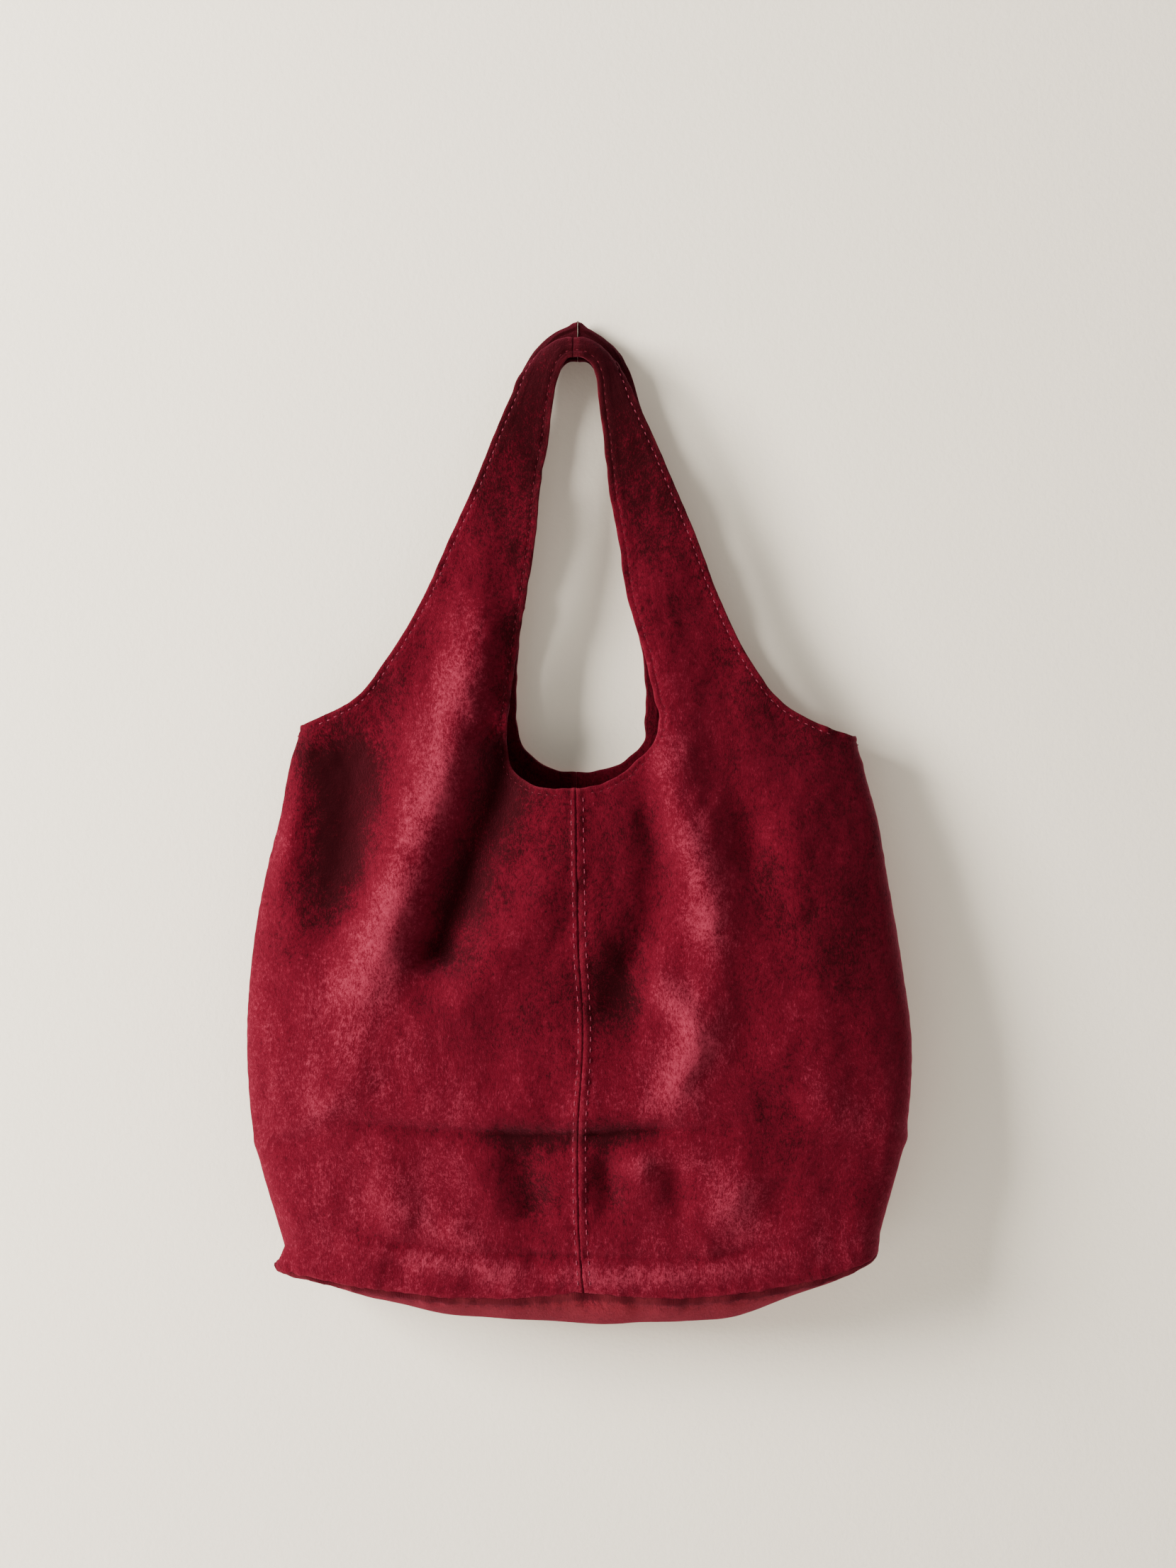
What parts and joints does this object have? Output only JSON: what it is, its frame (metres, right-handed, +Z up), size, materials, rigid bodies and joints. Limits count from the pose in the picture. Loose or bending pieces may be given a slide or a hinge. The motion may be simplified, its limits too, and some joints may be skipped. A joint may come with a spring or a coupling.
{
  "type": "suede hobo bag",
  "caption": "Soft unlined suede hobo bag with tank-top shoulder straps cut in one with the panels, a boxed sagging base and topstitched seams, hanging empty from a hook.",
  "frame": {"origin": "the hook seat, where the inner edges of the strap joins bear on the hook that holds the bag up", "axes": "+Z up; -Y is the bag's front and +Y the side that lies against the wall; +X is to the right as the front is seen"},
  "size_m": [0.4134, 0.0839, 0.6312],
  "materials": {
    "suede": "brushed burgundy suede, soft matte nap with a pink sheen",
    "suede_base": "burgundy suede of the base, rubbed a little flatter",
    "thread": "dusty rose twisted polyester thread"
  },
  "bodies": {
    "bag_body": {"front_left_panel": "suede", "front_left_centre_thread": "thread", "front_left_neck_thread": "thread", "front_left_armhole_thread": "thread", "front_right_panel": "suede", "front_right_centre_thread": "thread", "front_right_neck_thread": "thread", "front_right_armhole_thread": "thread", "back_left_panel": "suede", "back_left_centre_thread": "thread", "back_left_neck_thread": "thread", "back_left_armhole_thread": "thread", "back_right_panel": "suede", "back_right_centre_thread": "thread", "back_right_neck_thread": "thread", "back_right_armhole_thread": "thread", "base_panel": "suede_base", "front_base_seam_thread": "thread", "back_base_seam_thread": "thread", "left_side_seam_thread": "thread", "right_side_seam_thread": "thread", "left_corner_tack": "thread", "right_corner_tack": "thread"},
    "front_loop": {"front_left_strap": "suede", "front_left_strap_inner_thread": "thread", "front_left_strap_outer_thread": "thread", "front_right_strap": "suede", "front_right_strap_inner_thread": "thread", "front_right_strap_outer_thread": "thread", "front_join_thread": "thread"},
    "back_loop": {"back_left_strap": "suede", "back_left_strap_inner_thread": "thread", "back_left_strap_outer_thread": "thread", "back_right_strap": "suede", "back_right_strap_inner_thread": "thread", "back_right_strap_outer_thread": "thread", "back_join_thread": "thread"}
  },
  "joints": [
    {"name": "front_loop_fold", "type": "hinge", "parent": "bag_body", "child": "front_loop", "pos_m": [0, -0.0282, -0.215], "axis": [1, 0, 0], "range_deg": [0, 140]},
    {"name": "back_loop_fold", "type": "hinge", "parent": "bag_body", "child": "back_loop", "pos_m": [0, 0.0188, -0.215], "axis": [-1, 0, 0], "range_deg": [0, 140]}
  ]
}
